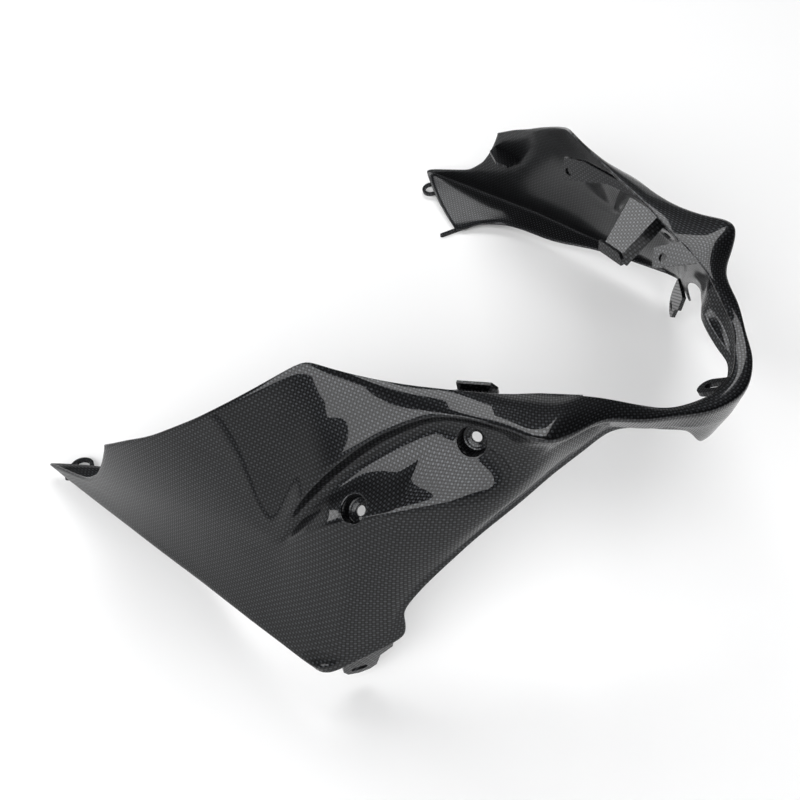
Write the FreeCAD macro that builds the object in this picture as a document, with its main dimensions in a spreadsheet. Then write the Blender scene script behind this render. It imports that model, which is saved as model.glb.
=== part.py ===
import FreeCAD, Part
import math
import os
import Sketcher
from FreeCAD import Placement, Rotation, Vector

# Lower fairing of a sports motorcycle: two side panels joined by a band round the nose, moulded as one
# thin laminate, with small mounting plates bonded to its inner face on both sides.
# Frame: x forward, y to the rider's left, z up. x = 0 is the rear tip of the panels, y = 0 the centre
# plane and z = 0 the level of the lowest ends. Lengths are millimetres, angles degrees.

doc = FreeCAD.newDocument("lower_fairing")
sizes = doc.addObject("Spreadsheet::Sheet", "sizes")

VALUES = [
    ("wall", 2.0, "thickness of the moulded laminate"),
    ("bond", 1.0, "depth to which a bonded plate is let into the line of the laminate before trimming"),
    ("cup_bore", 18.0, "bore of the sunk bolt cups in the recess"),
    ("cup_wall", 2.0, "wall of a bolt cup round its bore and behind it"),
    ("cup_depth", 9.0, "depth of a cup below the recess floor"),
    ("cup_hole", 7.0, "bolt hole through the floor of a cup"),
    ("eye_outer", 19.0, "outer diameter of the rear eyelet"),
    ("eye_hole", 12.5, "hole of the rear eyelet"),
    ("eye_tongue", 15.0, "length of the eyelet's tongue from the hole's centre"),
    ("eye_plate", 3.0, "thickness of the eyelet"),
    ("peg_length", 22.0, "length of the rear locating peg between the centres of its ends"),
    ("peg_width", 4.0, "width of the rear locating peg"),
    ("peg_plate", 2.5, "thickness of the rear locating peg"),
    ("gusset_length", 34.0, "length of the notch gusset along the wall"),
    ("gusset_reach", 17.0, "reach of the notch gusset into the fairing"),
    ("gusset_plate", 3.0, "thickness of the notch gusset"),
    ("hanger_length", 84.0, "length of the upper hanger plate"),
    ("hanger_height", 28.0, "height of the upper hanger plate at its rear end"),
    ("hanger_plate", 2.5, "thickness of the upper hanger plate"),
    ("hanger_hole", 7.0, "bolt hole of the upper hanger plate"),
    ("stay_top", 33.0, "width of the folded stay at the strip"),
    ("stay_foot", 19.0, "width of the folded stay at its foot"),
    ("stay_length", 42.0, "length of the folded stay's main face"),
    ("stay_side", 13.0, "depth of the folded stay's side face"),
    ("stay_plate", 2.5, "thickness of the folded stay"),
    ("foot_height", 7.0, "height of the folded stay's upright foot"),
    ("front_length", 41.0, "length of the front plate along the edge"),
    ("front_drop", 26.0, "drop of the front plate below the edge"),
    ("front_plate", 2.5, "thickness of the front plate"),
    ("front_hole", 6.5, "bolt hole of the front plate"),
    ("lug_plate", 3.5, "thickness of the lower lug"),
    ("lug_root", 34.0, "length of the lower lug's root along the lower front edge"),
    ("lug_drop", 32.0, "drop of the lower lug below its root"),
    ("lug_slot", 5.0, "width of the slot in the lower lug"),
    ("lug_slot_run", 7.0, "distance between the centres of that slot's ends"),
    ("nose_width", 15.0, "width of the nose tab"),
    ("nose_length", 15.0, "length of the nose tab to the centre of its rounded end"),
    ("nose_plate", 3.0, "thickness of the nose tab"),
    ("nose_slot", 5.0, "width of the nose tab's slot"),
    ("nose_slot_run", 7.0, "distance between the centres of that slot's ends"),
]
for row, (name, value, words) in enumerate(VALUES, start=1):
    sizes.set("A%d" % row, words)
    sizes.set("B%d" % row, str(value))
    sizes.setAlias("B%d" % row, name)
doc.recompute()


def size(name):
    return float(getattr(sizes, name))


# Key curves of one half, as (station, (forward, half width, height)) in millimetres.
# Stations run from 0 at the rear tip to NOSE on the centre plane. Heights count from the tables' own
# zero plane: every finished piece stands LIFT higher, so that the lowest bracket ends touch z = 0.
NOSE = 455.0
LIFT = 8.0
# The tables' forward positions count from the rear tips. The finished part has its origin half way
# along its length, this much further forward.
MIDDLE = 216.9

# Free top edge: rising from the notch corner to the rear shoulder, then level to the nose.
TOP = [
    (0, (0, 256, 46)), (45, (45, 252, 76)), (90, (90.8, 243.9, 98.1)), (111, (111.1, 237.2, 113.2)),
    (132, (132.1, 228.7, 127.8)), (150, (149.8, 218.4, 142.5)), (166, (165.4, 207.5, 155.5)),
    (180, (179, 195.7, 167.7)), (192, (191.1, 183.3, 178.8)), (204, (202.2, 170.6, 189)),
    (213, (212.8, 156.2, 198)), (222, (222, 152, 197.6)), (241, (241.5, 143.8, 196.4)),
    (270, (270, 130.6, 196.2)), (298, (297.8, 116.8, 198.5)), (324, (323.6, 101.2, 199.8)),
    (348, (347.8, 84.7, 202.8)), (373, (372.8, 69.6, 203.8)), (392, (392.7, 55.1, 198.7)),
    (405, (403.4, 46.2, 195.7)), (430, (417.7, 24, 193.5)), (455, (424.5, 0, 194)),
]
# Crest: outer border of the up-facing top strip, out to the raised shoulder and along the band.
CREST = [
    (213, (213.5, 158.2, 195.6)), (222, (222.6, 156, 195.4)), (241, (242.5, 149.5, 194.8)), (270, (272, 142, 195.3)),
    (298, (301, 133, 195.8)), (318, (324, 124.5, 200.3)), (334, (342.5, 121, 205)),
    (347, (357, 121.5, 208.7)), (357, (366.5, 118.5, 210.5)), (363, (371.3, 111, 207)),
    (369, (374.5, 101, 203.3)), (376, (378, 88.5, 202)), (385, (384, 76, 201.5)),
    (396, (398, 64, 199.3)), (412, (414.5, 43.5, 196.7)), (433, (428.5, 25, 195.5)),
    (455, (435.5, 0, 195)),
]
# Upper rim of the recess, from its rear tip up to the crest and then just below the crest.
RIM = [
    (208, (218.5, 223.5, 93.8)), (222, (236.9, 218.7, 97.5)), (229, (239.8, 212.2, 111)), (237, (246, 202, 129)),
    (246, (254, 190, 146.3)), (258, (265.5, 173.6, 164.4)), (268, (275.2, 161, 176)),
    (279, (286.5, 149, 184.5)), (290, (297, 138.5, 190)), (300, (307, 132, 193)),
    (312, (319, 127.2, 196)), (324, (332, 124.6, 199)), (338, (347.3, 122.8, 202.5)),
    (350, (360.5, 122.4, 205)), (359, (369, 117.5, 205)), (367, (374, 105.5, 200)),
    (376, (378.4, 88.6, 198)), (385, (384.5, 76.2, 197)), (396, (398.5, 64.2, 195)),
    (412, (415, 43.8, 192.5)), (433, (429.2, 25.3, 191)), (455, (436.2, 0, 190.5)),
]
# Lower ridge of the recess, then the lower border of the band's outer face.
RIDGE = [
    (208, (220, 227.4, 81.5)), (222, (239.7, 222, 88.2)), (239, (254.8, 213.6, 110.6)),
    (256, (270, 205.5, 126.3)), (273, (284, 196.5, 136.5)), (288, (296.8, 187.7, 144.5)),
    (300, (309, 178.5, 151.2)), (310, (319.5, 167, 153.5)), (320, (330, 156, 156.3)),
    (337, (349.4, 132.6, 162.3)), (347, (357.5, 122.5, 172)), (356, (364.7, 112.2, 187)),
    (366, (367.5, 101.5, 188.5)),
    (376, (371.8, 83, 186.5)), (385, (379, 70.5, 184)), (396, (397, 58, 182)),
    (412, (413.5, 41, 181.5)), (433, (427.5, 23.6, 176)), (455, (434, 0, 170)),
]
# Fold: straight lower crease of the panel, then a line just above the front lower edge.
FOLD = [
    (0, (-3, 254.5, 1.5)), (15, (16, 254.7, 3)), (60, (64.5, 255.5, 7.5)), (90, (95.9, 256.3, 11.5)), (120, (127.5, 257, 15.6)), (190, (204, 255.3, 20.8)),
    (236, (262, 254, 24.8)), (254, (284, 253.2, 27)), (263, (295, 252.2, 29.3)),
    (269, (302.5, 248.5, 32.5)), (277, (311, 234.5, 39)), (285, (319.8, 221, 45)),
    (290, (324.8, 212.5, 50.5)), (294, (325.2, 206, 60)), (299, (324.6, 198, 73.5)),
    (306, (328.8, 184.8, 90)), (318, (338.7, 164.5, 109.5)),
    (330, (347.4, 145.5, 127)), (344, (358.8, 121, 146)), (357, (366, 101.5, 158)),
    (370, (374.3, 80.5, 169)), (384, (382, 62, 176.5)), (396, (396, 50.5, 176.5)),
    (408, (406, 43, 176.5)), (421, (416.5, 36, 176.5)), (432, (422, 27.5, 171)),
    (443, (426, 15.2, 153)), (455, (428, 0, 141)),
]
# Free lower edge: inner edge of the flange, the lower front corner, the front edge and the chin.
EDGE = [
    (0, (25, 199, -6.5)), (57, (75.6, 202.8, -6)), (70, (82.5, 208, -5)), (84, (90, 218.5, -1.5)),
    (105, (111, 231, 2)), (130, (133.5, 234.5, 6)), (158, (168.3, 237, 8.5)), (205, (220, 246, 16.4)), (245, (272, 249.5, 22.5)),
    (257, (291, 251.5, 24)), (264, (299, 251.5, 25)), (269, (305, 248.5, 27.3)),
    (277, (315.5, 232.5, 35)), (285, (327.5, 214, 43.5)), (290, (333.5, 204, 49)),
    (294, (331, 200, 58)), (299, (327, 197.5, 70)), (306, (331.5, 185.4, 85.3)),
    (318, (339.9, 166, 104.6)), (330, (348.3, 146.9, 122)),
    (344, (359.8, 122.4, 140.9)), (357, (366.9, 102.5, 153.4)), (370, (375, 82, 164)),
    (384, (383.3, 60.7, 172.2)), (396, (395.5, 49, 172.5)), (408, (405.5, 42, 172.2)),
    (421, (415.4, 34.7, 172.2)), (432, (420.2, 26.8, 166)), (443, (424, 15, 148)),
    (455, (426, 0, 136)),
]
# Depth of the recess below its rim, bulge of the wall below the ridge, and the shallow groove
# above the lower front corner, each against the station.
SINK = [(0, 0), (222, 0), (232, 6), (246, 10), (262, 12), (310, 12), (335, 9), (352, 4), (364, 0), (455, 0)]
BULGE = [(0, 0), (280, 0), (300, 3), (325, 4), (345, 3), (370, 1), (455, 0)]
GROOVE = [(0, 0), (255, 0), (268, 2.5), (284, 2.5), (294, 0), (455, 0)]
FOLD_SIZE = [(0, 13), (120, 11), (230, 8), (270, 5), (455, 4)]

# Where each row of the wall starts at the rear, which cuts the notch, the finger and the flange.
START = [90.5, 90, 82.5, 71, 67, 61, 54, 48, 38, 18, 4, 1, 0, 6, 24, 57]
# How far down from top edge to fold each row lies behind the recess.
DEPTH = [0, 0.03, 0.22, 0.42, 0.47, 0.54, 0.62, 0.66, 0.70, 0.78, 0.88]
DEPTH_AT_TIP = [0, 0.015, 0.28, 0.578, 0.59, 0.605, 0.62, 0.63, 0.65, 0.75, 0.88]
JOIN = 166.0
TIP = 222.0


def panel_half(x, z):
    """Half width of the smooth side panel at a forward position and a height."""
    x, z = x / 100, z / 100
    return (256 + 4 * x - 11.5 * z + 1.13 * x * x - 27.46 * x * z + 33.9 * z * z
            - 1.67 * x * x * z + 7.44 * x * z * z - 19.8 * z ** 3)


def ramp(table, s):
    """Value of a (station, value) table, eased between its points."""
    for (a, p), (b, q) in zip(table, table[1:]):
        if s <= b:
            t = (s - a) / (b - a)
            return p + (q - p) * t * t * (3 - 2 * t)
    return table[-1][1]


def slope(table, j):
    """Tangent of a curve table at its point j, weighted by the neighbouring spans."""
    last = len(table) - 1
    size = len(table[0][1])
    if j == last and table[j][0] == NOSE:
        a, b = table[last - 1], table[last]
        return [0, (b[1][1] - a[1][1]) / (b[0] - a[0]), 0]
    if j == 0 or j == last:
        a, b = table[max(j - 1, 0)], table[min(j + 1, last)]
        return [(b[1][k] - a[1][k]) / (b[0] - a[0]) for k in range(size)]
    (sa, pa), (sb, pb), (sc, pc) = table[j - 1], table[j], table[j + 1]
    before, after = sb - sa, sc - sb
    return [(after * (pb[k] - pa[k]) / before + before * (pc[k] - pb[k]) / after) / (before + after)
            for k in range(size)]


def curve(table, s):
    """Point at station s on the smooth curve through the table."""
    i = 0
    while i < len(table) - 2 and s > table[i + 1][0]:
        i += 1
    (sa, pa), (sb, pb) = table[i], table[i + 1]
    h = sb - sa
    t = (s - sa) / h
    ma, mb = slope(table, i), slope(table, i + 1)
    a, b = 2 * t ** 3 - 3 * t * t + 1, (t ** 3 - 2 * t * t + t) * h
    c, d = 3 * t * t - 2 * t ** 3, (t ** 3 - t * t) * h
    return [a * pa[k] + b * ma[k] + c * pb[k] + d * mb[k] for k in range(len(pa))]


def between(p, q, t):
    return [a + (b - a) * t for a, b in zip(p, q)]


def moved(p, n, k):
    return [a + b * k for a, b in zip(p, n)]


def normal(ahead, behind, upper, lower):
    """Unit vector square to the wall, pointing outwards or forwards."""
    t = [a - b for a, b in zip(ahead, behind)]
    d = [a - b for a, b in zip(lower, upper)]
    n = [t[1] * d[2] - t[2] * d[1], t[2] * d[0] - t[0] * d[2], t[0] * d[1] - t[1] * d[0]]
    size = sum(c * c for c in n) ** 0.5
    sign = 1 if n[0] + n[1] > 0 else -1
    return [sign * c / size for c in n]


def on_panel(p, hug=1.0):
    """Point p with its half width drawn towards the smooth panel."""
    return [p[0], p[1] + hug * (panel_half(p[0], p[2]) - p[1]), p[2]]


def rear_row(s, row):
    """Point of a row behind the recess, on the smooth panel."""
    k = min(s / TIP, 1.0) ** 2
    depth = DEPTH[row] + (DEPTH_AT_TIP[row] - DEPTH[row]) * k
    return on_panel(between(curve(TOP, s), curve(FOLD, s), depth))


REAR = [0, 45, 90, 130, 166, 190]
CREST_ROW, RIM_ROW, RIDGE_ROW = 1, 3, 7
CREST_LINE = [(s, rear_row(s, CREST_ROW)) for s in REAR + [204]] + CREST
RIM_LINE = [(s, rear_row(s, RIM_ROW)) for s in REAR] + RIM
RIDGE_LINE = [(s, rear_row(s, RIDGE_ROW)) for s in REAR] + RIDGE


def row_point(s, row):
    """Point of one row of the wall at station s: 0 is the top edge, 15 the lower free edge."""
    if s < JOIN:
        s = START[row] + (JOIN - START[row]) * s / JOIN
    if row == 0:
        return curve(TOP, s)
    if row == 1:
        return curve(CREST_LINE, s)
    if row == 3:
        return curve(RIM_LINE, s)
    if row == 7:
        return curve(RIDGE_LINE, s)
    if row == 12:
        return curve(FOLD, s)
    if row == 15:
        return curve(EDGE, s)
    if s < JOIN and row < 11:
        return rear_row(s, row)
    settled = ramp([(0, 0), (JOIN, 0), (TIP + 6, 1), (NOSE, 1)], s)
    if row < 11 and settled < 1:
        return between(rear_row(s, row), open_row(s, row), settled)
    return open_row(s, row)


def open_row(s, row):
    """Point of a row beside the recess, along the band or on the flange."""
    rim, ridge, fold = curve(RIM_LINE, s), curve(RIDGE_LINE, s), curve(FOLD, s)
    if row == 2:
        hug = 1 - ramp([(0, 0), (213, 0), (240, 0.5), (282, 0.6), (298, 1), (455, 1)], s)
        crest = curve(CREST_LINE, s)
        span = sum((a - b) ** 2 for a, b in zip(crest, rim)) ** 0.5
        return on_panel(between(crest, rim, max(0.5, 1 - 5 / max(span, 1))), hug)
    if row > 12:
        edge = curve(EDGE, s)
        span = sum((a - b) ** 2 for a, b in zip(fold, edge)) ** 0.5
        near = min(ramp(FOLD_SIZE, s) / span, 0.33)
        return between(fold, edge, near if row == 13 else (1 + near) / 2)
    ahead, behind = curve(RIDGE_LINE, min(s + 3, NOSE)), curve(RIDGE_LINE, s - 3)
    n = normal(ahead, behind, rim, fold)
    if row < 7:
        span = sum((a - b) ** 2 for a, b in zip(rim, ridge)) ** 0.5
        place = {4: min(0.3, 4.0 / span), 5: 0.5, 6: 1 - min(0.2, 4.5 / span)}[row]
        depth = {4: 0.75, 5: 1.0, 6: 0.25}[row]
        return moved(between(rim, ridge, place), n, -depth * ramp(SINK, s))
    span = sum((a - b) ** 2 for a, b in zip(ridge, fold)) ** 0.5
    size = ramp(FOLD_SIZE, s)
    place = {8: min(0.2, 5 / span), 9: 0.36, 10: 0.7, 11: 1 - min(0.18, size / span)}[row]
    hug = 1 - ramp([(0, 0), (262, 0), (292, 1), (455, 1)], s)
    proud = {8: 0.75, 9: 0.35, 10: 0.06, 11: 0.0}[row]
    flat = between(ridge, fold, place)
    ledge = ridge[1] - panel_half(ridge[0], ridge[2])
    hugged = on_panel(flat)
    hugged[1] += ledge * proud
    point = between(flat, hugged, hug)
    swell = ramp(BULGE, s) * 4 * place * (1 - place)
    groove = ramp(GROOVE, s) if row == 11 else 0.0
    return moved(point, n, swell - groove)


def wall_column(s, parts=3):
    """Points down the wall at station s, from the top edge to the lower free edge."""
    rows = [row_point(s, k) for k in range(16)]
    table = [(0.0, rows[0])]
    for a, b in zip(rows, rows[1:]):
        step = sum((p - q) ** 2 for p, q in zip(a, b)) ** 0.5
        table.append((table[-1][0] + max(step, 0.8), b))
    points = []
    for (sa, pa), (sb, pb) in zip(table, table[1:]):
        for k in range(parts):
            points.append(curve(table, sa + (sb - sa) * k / parts))
    points.append(rows[-1])
    return points


# Stations of the surface: evenly spaced between the corners of the outline.
CORNERS = [(0, 18), (166, 6), (213, 9), (269, 4), (290, 3), (299, 9), (357, 6), (384, 6), (421, 3), (443, 2),
           (455, 0)]


def stations():
    found = []
    for (a, count), (b, _) in zip(CORNERS, CORNERS[1:]):
        found += [a + (b - a) * k / count for k in range(count)]
    return found + [NOSE]


def lifted(p, side=1):
    """Point of the tables as a vector of the finished part, on the left (1) or the right (-1)."""
    return Vector(p[0] - MIDDLE, side * p[1], p[2] + LIFT)


# How far along the wall, either way, its direction is measured when the inner face is offset. This
# rounds the inner face inside the sharp folds of the outer one.
SPREAD = 4.0


def along(column, lengths, distance):
    """Point of a column at a distance from its start, held within its ends."""
    distance = min(max(distance, 0.0), lengths[-1])
    j = 0
    while j < len(lengths) - 2 and distance > lengths[j + 1]:
        j += 1
    t = (distance - lengths[j]) / (lengths[j + 1] - lengths[j])
    return column[j] + (column[j + 1] - column[j]) * t


def inner_column(behind, column, ahead, wall):
    """Column of the inner face, one wall thickness inside the outer face."""
    lengths = [0.0]
    for p, q in zip(column, column[1:]):
        lengths.append(lengths[-1] + p.distanceToPoint(q))
    points = []
    for j, p in enumerate(column):
        down = along(column, lengths, lengths[j] + SPREAD) - along(column, lengths, lengths[j] - SPREAD)
        inward = down.cross(ahead[j] - behind[j])
        inward.normalize()
        points.append(p + inward * wall)
    return points


def mirrored(columns):
    """Columns of the other half, in the order that carries on from the nose to the other rear end."""
    return [[Vector(p.x, -p.y, p.z) for p in column] for column in reversed(columns[:-1])]


DEGREE = 3


def even_knots(count):
    """Evenly spaced knots, and how often each one counts, for a clamped row of control points."""
    spans = count - DEGREE
    repeats = [DEGREE + 1] + [1] * (spans - 1) + [DEGREE + 1]
    return [float(k) for k in range(spans + 1)], repeats


def smooth(columns):
    """Smooth surface whose control points are the points of the columns."""
    knots_u, repeats_u = even_knots(len(columns))
    knots_v, repeats_v = even_knots(len(columns[0]))
    face = Part.BSplineSurface()
    face.buildFromPolesMultsKnots(columns, repeats_u, repeats_v, knots_u, knots_v, False, False, DEGREE, DEGREE)
    return face


FINENESS = 1


def outer_columns():
    return [[lifted(p) for p in wall_column(s, FINENESS)] for s in stations()]


def laminate():
    """Solid wall between the outer face and its offset inner face."""
    half = outer_columns()
    whole = half + mirrored(half)
    inner = []
    for i, column in enumerate(whole):
        behind, ahead = whole[max(i - 1, 0)], whole[min(i + 1, len(whole) - 1)]
        inner.append(inner_column(behind, column, ahead, size("wall")))
    outer_face, inner_face = smooth(whole).toShape(), smooth(inner).toShape()
    rims = []
    for a, b in zip(outer_face.Edges, inner_face.Edges):
        rims.append(Part.makeRuledSurface(a, b))
    shell = Part.makeShell([outer_face, inner_face] + rims)
    shell.sewShape()
    solid = Part.makeSolid(shell)
    return solid if solid.Volume > 0 else solid.reversed()




def unit(v):
    v = Vector(v)
    v.normalize()
    return v


def frame(origin, along, across, side):
    """Placement whose x axis runs along and whose y axis lies towards across, on one side."""
    flip = Vector(1, side, 1)
    start = Vector(origin.x * flip.x, origin.y * flip.y, origin.z)
    a = unit(Vector(along.x, along.y * side, along.z))
    b = Vector(across.x, across.y * side, across.z)
    b = unit(b - a * a.dot(b))
    return Placement(start, Rotation(a, b, a.cross(b), "XYZ"))


def plane_of(body, role):
    return next(plane for plane in body.Origin.OriginFeatures if plane.Role == role)


def sketch_on(body, name, offset=None):
    """Sketch on the body's own base plane, moved by an offset inside the body if one is given."""
    sketch = body.newObject("Sketcher::SketchObject", name)
    sketch.AttachmentSupport = (plane_of(body, "XY_Plane"), [""])
    sketch.MapMode = "FlatFace"
    if offset:
        sketch.AttachmentOffset = offset
    return sketch


def share(part, name, extra=0.0):
    """A share of a named size, plus a fixed length: its value and its expression."""
    return part * size(name) + extra, "%g * sizes.%s + (%g)" % (part, name, extra)


def hold(sketch, kind, places, amount):
    """Dimension of a sketch, bound to the named size that it comes from."""
    value, words = amount if isinstance(amount, tuple) else (float(amount), None)
    index = sketch.addConstraint(Sketcher.Constraint(kind, *places, value))
    if words:
        sketch.setExpression("Constraints[%d]" % index, words)


def number(amount):
    return amount[0] if isinstance(amount, tuple) else float(amount)


def polygon(sketch, corners):
    """Closed outline with straight sides; each corner is held from the sketch's origin."""
    points = [Vector(number(a), number(b), 0) for a, b in corners]
    first = sketch.GeometryCount
    count = len(points)
    for k in range(count):
        sketch.addGeometry(Part.LineSegment(points[k], points[(k + 1) % count]), False)
    for k in range(count):
        after = first + (k + 1) % count
        sketch.addConstraint(Sketcher.Constraint("Coincident", first + k, 2, after, 1))
    for k, (a, b) in enumerate(corners):
        hold(sketch, "DistanceX", (-1, 1, first + k, 1), a)
        hold(sketch, "DistanceY", (-1, 1, first + k, 1), b)


def circle(sketch, x, y, diameter):
    """Round hole or disc, its centre held from the sketch's origin."""
    centre = Vector(number(x), number(y), 0)
    ring = sketch.addGeometry(Part.Circle(centre, Vector(0, 0, 1), number(diameter) / 2), False)
    hold(sketch, "DistanceX", (-1, 1, ring, 3), x)
    hold(sketch, "DistanceY", (-1, 1, ring, 3), y)
    hold(sketch, "Diameter", (ring,), diameter)


def held_radius(sketch, arc, width):
    """Radius of an arc, held to half of a width."""
    index = sketch.addConstraint(Sketcher.Constraint("Radius", arc, number(width) / 2))
    if isinstance(width, tuple):
        sketch.setExpression("Constraints[%d]" % index, "(%s) / 2" % width[1])


def strip(sketch, x, y, run, width, round_root=True):
    """Strip from a round end centred at (x, y) along x, its other end round or square."""
    x0, y0, r = number(x), number(y), number(width) / 2
    x1 = x0 + number(run)
    up = Vector(0, 0, 1)
    low, high = Vector(0, y0 - r, 0), Vector(0, y0 + r, 0)
    start, end = Vector(x0, 0, 0), Vector(x1, 0, 0)
    first = sketch.addGeometry(Part.LineSegment(start + low, end + low), False)
    if round_root:
        root = Part.ArcOfCircle(Part.Circle(Vector(x1, y0, 0), up, r), -math.pi / 2, math.pi / 2)
    else:
        root = Part.LineSegment(end + low, end + high)
    sketch.addGeometry(root, False)
    sketch.addGeometry(Part.LineSegment(end + high, start + high), False)
    tip = Part.ArcOfCircle(Part.Circle(Vector(x0, y0, 0), up, r), math.pi / 2, 3 * math.pi / 2)
    sketch.addGeometry(tip, False)
    for a, b in ((2, 3), (3, 0)):
        sketch.addConstraint(Sketcher.Constraint("Tangent", first + a, 2, first + b, 1))
    join = "Tangent" if round_root else "Coincident"
    for a, b in ((0, 1), (1, 2)):
        sketch.addConstraint(Sketcher.Constraint(join, first + a, 2, first + b, 1))
    hold(sketch, "DistanceX", (-1, 1, first + 3, 3), x)
    hold(sketch, "DistanceY", (-1, 1, first + 3, 3), y)
    hold(sketch, "DistanceX", (first, 1, first, 2), run)
    sketch.addConstraint(Sketcher.Constraint("Horizontal", first))
    if not round_root:
        sketch.addConstraint(Sketcher.Constraint("Vertical", first + 1))
    held_radius(sketch, first + 3, width)


def pad(body, sketch, name, thickness):
    """Plate of a named thickness, lying half to each side of its sketch."""
    feature = body.newObject("PartDesign::Pad", name)
    feature.Profile = sketch
    feature.Midplane = True
    feature.setExpression("Length", "sizes.%s" % thickness)
    sketch.Visibility = False
    body.Tip = feature
    return feature


def label(word, side):
    return word + ("_left" if side == 1 else "_right")


def new_body(word, side):
    """Empty piece before it is trimmed; the trimmed piece carries the name of its file."""
    body = doc.addObject("PartDesign::Body", "blank_" + label(word, side))
    body.Label = label("blank_" + word, side)
    return body


def level(p):
    """Point of the tables, as a vector of the finished part on the left side."""
    return lifted(p)


def eyelet(side):
    """Flat ring on a tongue, bonded under the flange at its rear tip."""
    body = new_body("eyelet", side)
    sketch = sketch_on(body, label("eyelet_outline", side))
    strip(sketch, 0, 0, share(1, "eye_tongue"), share(1, "eye_outer"), False)
    circle(sketch, 0, 0, share(1, "eye_hole"))
    pad(body, sketch, label("eyelet_pad", side), "eye_plate")
    drop = size("wall") - size("bond")
    origin = level((15.5, 237.5, -2.2)) + Vector(0, 0, drop - size("eye_plate") / 2)
    body.Placement = frame(origin, Vector(0.57, 0.8, 0.17), Vector(-0.81, 0.58, 0), side)
    return body


def peg(side):
    """Small flat peg under the rear corner of the flange, pointing inwards."""
    body = new_body("peg", side)
    sketch = sketch_on(body, label("peg_outline", side))
    strip(sketch, share(0.5, "peg_width"), 0, share(1, "peg_length"), share(1, "peg_width"))
    pad(body, sketch, label("peg_pad", side), "peg_plate")
    origin = level((67.5, 186.5, -5.5)) - Vector(0, 0, size("peg_plate") / 2)
    body.Placement = frame(origin, Vector(0.39, 0.92, 0), Vector(0, 0, 1).cross(Vector(0.39, 0.92, 0)), side)
    return body


def gusset(side):
    """Level web plate across the wall, just in front of the notch."""
    rear, front, height = 88.0, 122.0, 80.0
    body = new_body("gusset", side)
    sketch = sketch_on(body, label("gusset_outline", side))
    polygon(sketch, [
        (0, 0), (share(1, "gusset_length"), 0),
        (share(1, "gusset_length", -4), share(1, "gusset_reach")),
        (share(0.55, "gusset_length"), share(1, "gusset_reach", 3)),
        (2, share(1, "gusset_reach", -6)),
    ])
    pad(body, sketch, label("gusset_pad", side), "gusset_plate")
    inset = size("wall") - size("bond")
    a = level((rear, panel_half(rear, height) - inset, height))
    b = level((front, panel_half(front, height) - inset, height))
    body.Placement = frame(a, b - a, Vector(0, -1, 0), side)
    return body


def hanger(side):
    """Upright plate that hangs inside the upper rear shoulder, bonded under the top strip."""
    body = new_body("hanger", side)
    sketch = sketch_on(body, label("hanger_outline", side))
    polygon(sketch, [
        (0, share(-1, "hanger_height")), (50, -8.5), (share(1, "hanger_length"), -6),
        (share(1, "hanger_length"), share(-0.5, "wall", 1.4)), (23, share(-0.5, "wall", -0.2)), (1, -7),
    ])
    circle(sketch, 7.5, share(-0.5, "hanger_height", -3), share(1, "hanger_hole"))
    pad(body, sketch, label("hanger_pad", side), "hanger_plate")
    body.Placement = frame(level((211.8, 150, 185.5)), Vector(91, -25.1, 10.5), Vector(0, 0, 1), side)
    return body


def corner_profile(sketch, width, inset):
    """Section of the folded stay: a main leg and a side leg at its front end."""
    polygon(sketch, [
        (share(-0.5, width), 0), (share(0.5, width), 0), (share(0.5, width), share(-1, "stay_side")),
        (share(0.5, width, -size("stay_plate") * inset), share(-1, "stay_side")),
        (share(0.5, width, -size("stay_plate") * inset), share(-1, "stay_plate")),
        (share(-0.5, width), share(-1, "stay_plate")),
    ])


def stay(side):
    """Folded stay under the top strip: it reaches down and inwards and ends in an upright foot."""
    body = new_body("stay", side)
    run = "sizes.stay_length" if side > 0 else "-sizes.stay_length"
    top = sketch_on(body, label("stay_top_section", side))
    corner_profile(top, "stay_top", 1)
    foot = sketch_on(body, label("stay_foot_section", side), Placement(Vector(), Rotation()))
    foot.setExpression(".AttachmentOffset.Base.z", run)
    corner_profile(foot, "stay_foot", 1)
    doc.recompute()
    leg = body.newObject("PartDesign::AdditiveLoft", label("stay_leg", side))
    leg.Profile = top
    leg.Sections = [foot]
    leg.Ruled = True
    body.Tip = leg
    doc.recompute()
    turn = Rotation(Vector(1, 0, 0), -45 * side)
    base = sketch_on(body, label("stay_base_outline", side), Placement(Vector(), turn))
    base.setExpression(".AttachmentOffset.Base.z", run)
    polygon(base, [
        (share(-0.5, "stay_foot", -2), -2), (share(0.5, "stay_foot", 6), -2),
        (share(0.5, "stay_foot", 6), share(1, "foot_height", -4)),
        (share(0.5, "stay_foot", 2), share(1, "foot_height")),
        (share(-0.5, "stay_foot", -2), share(1, "foot_height")),
    ])
    pad(body, base, label("stay_base", side), "stay_plate")
    along, down = Vector(30, -13, 7), Vector(-0.141, -0.702, -0.699)
    origin = level((301, 111.5, 193.5)) - down * 3.4
    a = unit(along)
    body.Placement = frame(origin, a, unit(down).cross(a), side)
    return body


def front_plate(side):
    """Plate with one bolt hole that hangs from the free top edge in front of the shoulder."""
    body = new_body("front_plate", side)
    sketch = sketch_on(body, label("front_outline", side))
    polygon(sketch, [
        (share(1, "front_length", -50), share(1, "front_drop", -10.5)), (5.5, -0.5),
        (share(1, "front_length", -10), -0.5), (2, share(1, "front_drop")),
    ])
    circle(sketch, 3, share(1, "front_drop", -10.4), share(1, "front_hole"))
    pad(body, sketch, label("front_pad", side), "front_plate")
    a, b = level(curve(TOP, 338.5)), level(curve(TOP, 363))
    origin = a - Vector(0, 0, size("wall") - size("bond"))
    body.Placement = frame(origin, b - a, Vector(-0.3, -0.5, -0.8), side)
    return body


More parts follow.
